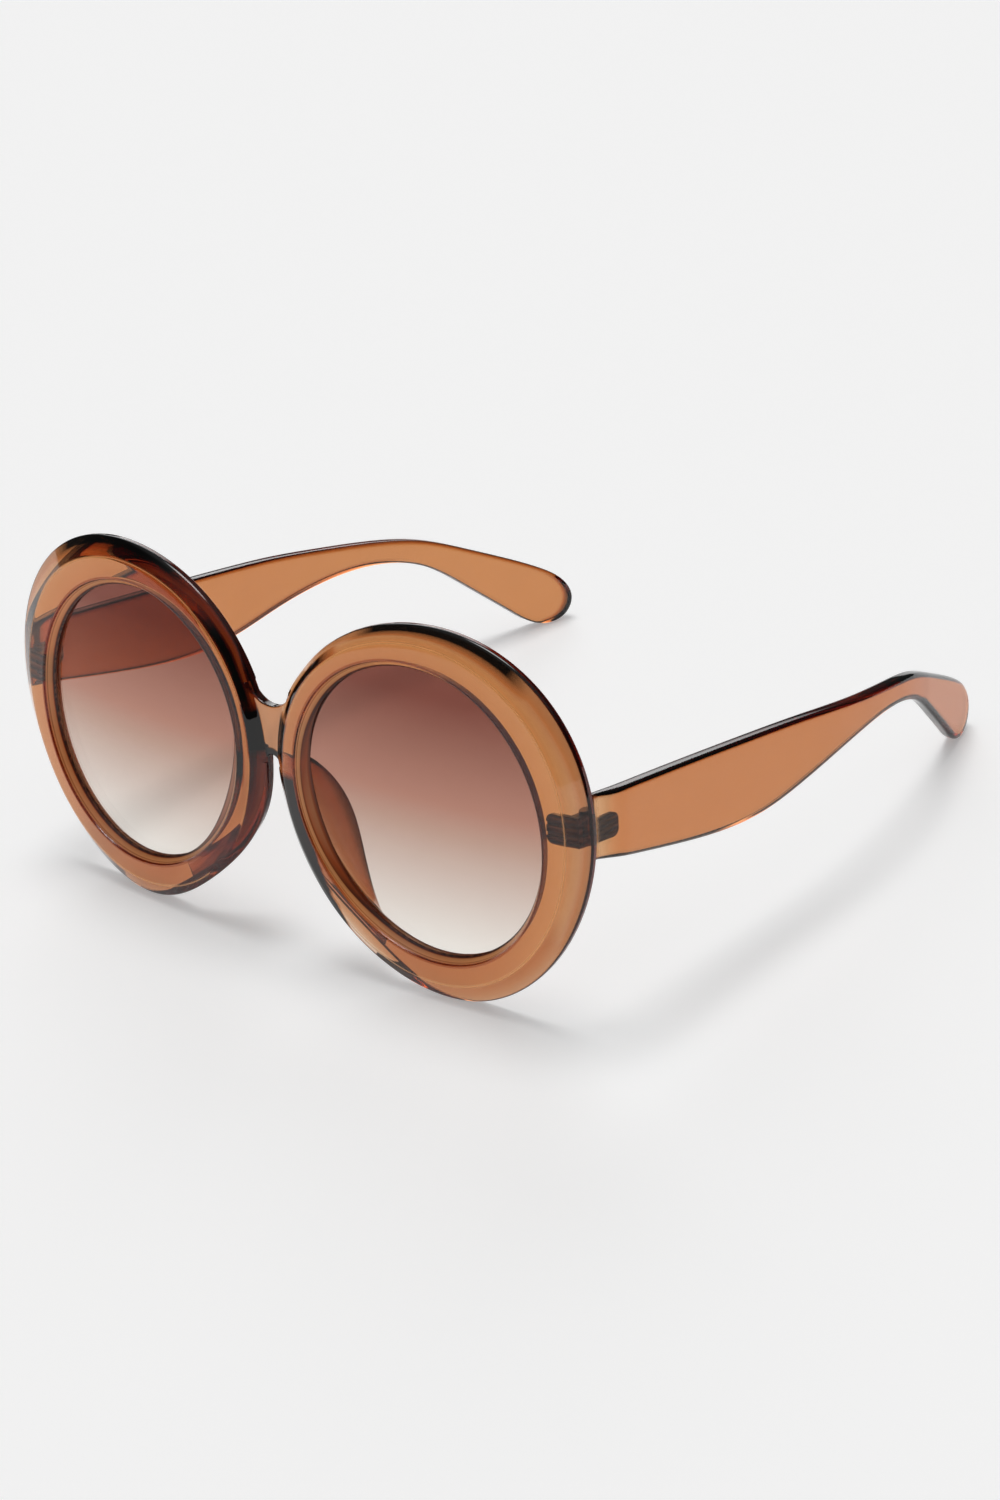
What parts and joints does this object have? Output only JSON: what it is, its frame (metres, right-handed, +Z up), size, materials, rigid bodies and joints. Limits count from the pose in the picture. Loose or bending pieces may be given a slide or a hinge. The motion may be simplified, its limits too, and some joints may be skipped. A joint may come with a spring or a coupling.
{
  "type": "oversized sunglasses",
  "caption": "Oversized round sunglasses in clear amber-brown plastic, with brown gradient lenses, nose pads behind the rims and temples that fold inwards on screwed hinges.",
  "frame": {"origin": "on the ground below the middle of the box, standing on both rims and both temple tips", "axes": "+X to the wearer's left, +Y backwards along the temples, +Z up"},
  "size_m": [0.1548, 0.1436, 0.073],
  "materials": {
    "amber_plastic": "polished translucent amber-brown plastic",
    "gradient_lens": "polished lens, brown at the top and nearly clear at the bottom",
    "hinge_metal": "plain nickel-silver hinge leaves and screws"
  },
  "bodies": {
    "front": {"front_frame": "amber_plastic", "nose_pad_left": "amber_plastic", "nose_pad_right": "amber_plastic", "lens_left": "gradient_lens", "lens_right": "gradient_lens", "front_hinge_leaf_left": "hinge_metal", "front_hinge_leaf_right": "hinge_metal", "hinge_screw_left": "hinge_metal", "hinge_screw_right": "hinge_metal"},
    "temple_left": {"temple_left": "amber_plastic", "temple_hinge_leaf_left": "hinge_metal"},
    "temple_right": {"temple_right": "amber_plastic", "temple_hinge_leaf_right": "hinge_metal"}
  },
  "joints": [
    {"name": "left_temple_fold", "type": "hinge", "parent": "front", "child": "temple_left", "pos_m": [0.0723, -0.05931, 0.03966], "axis": [0, 0.1101, 0.9939], "range_deg": [0, 82]},
    {"name": "right_temple_fold", "type": "hinge", "parent": "front", "child": "temple_right", "pos_m": [-0.0723, -0.05931, 0.03966], "axis": [0, -0.1101, -0.9939], "range_deg": [0, 74]}
  ]
}
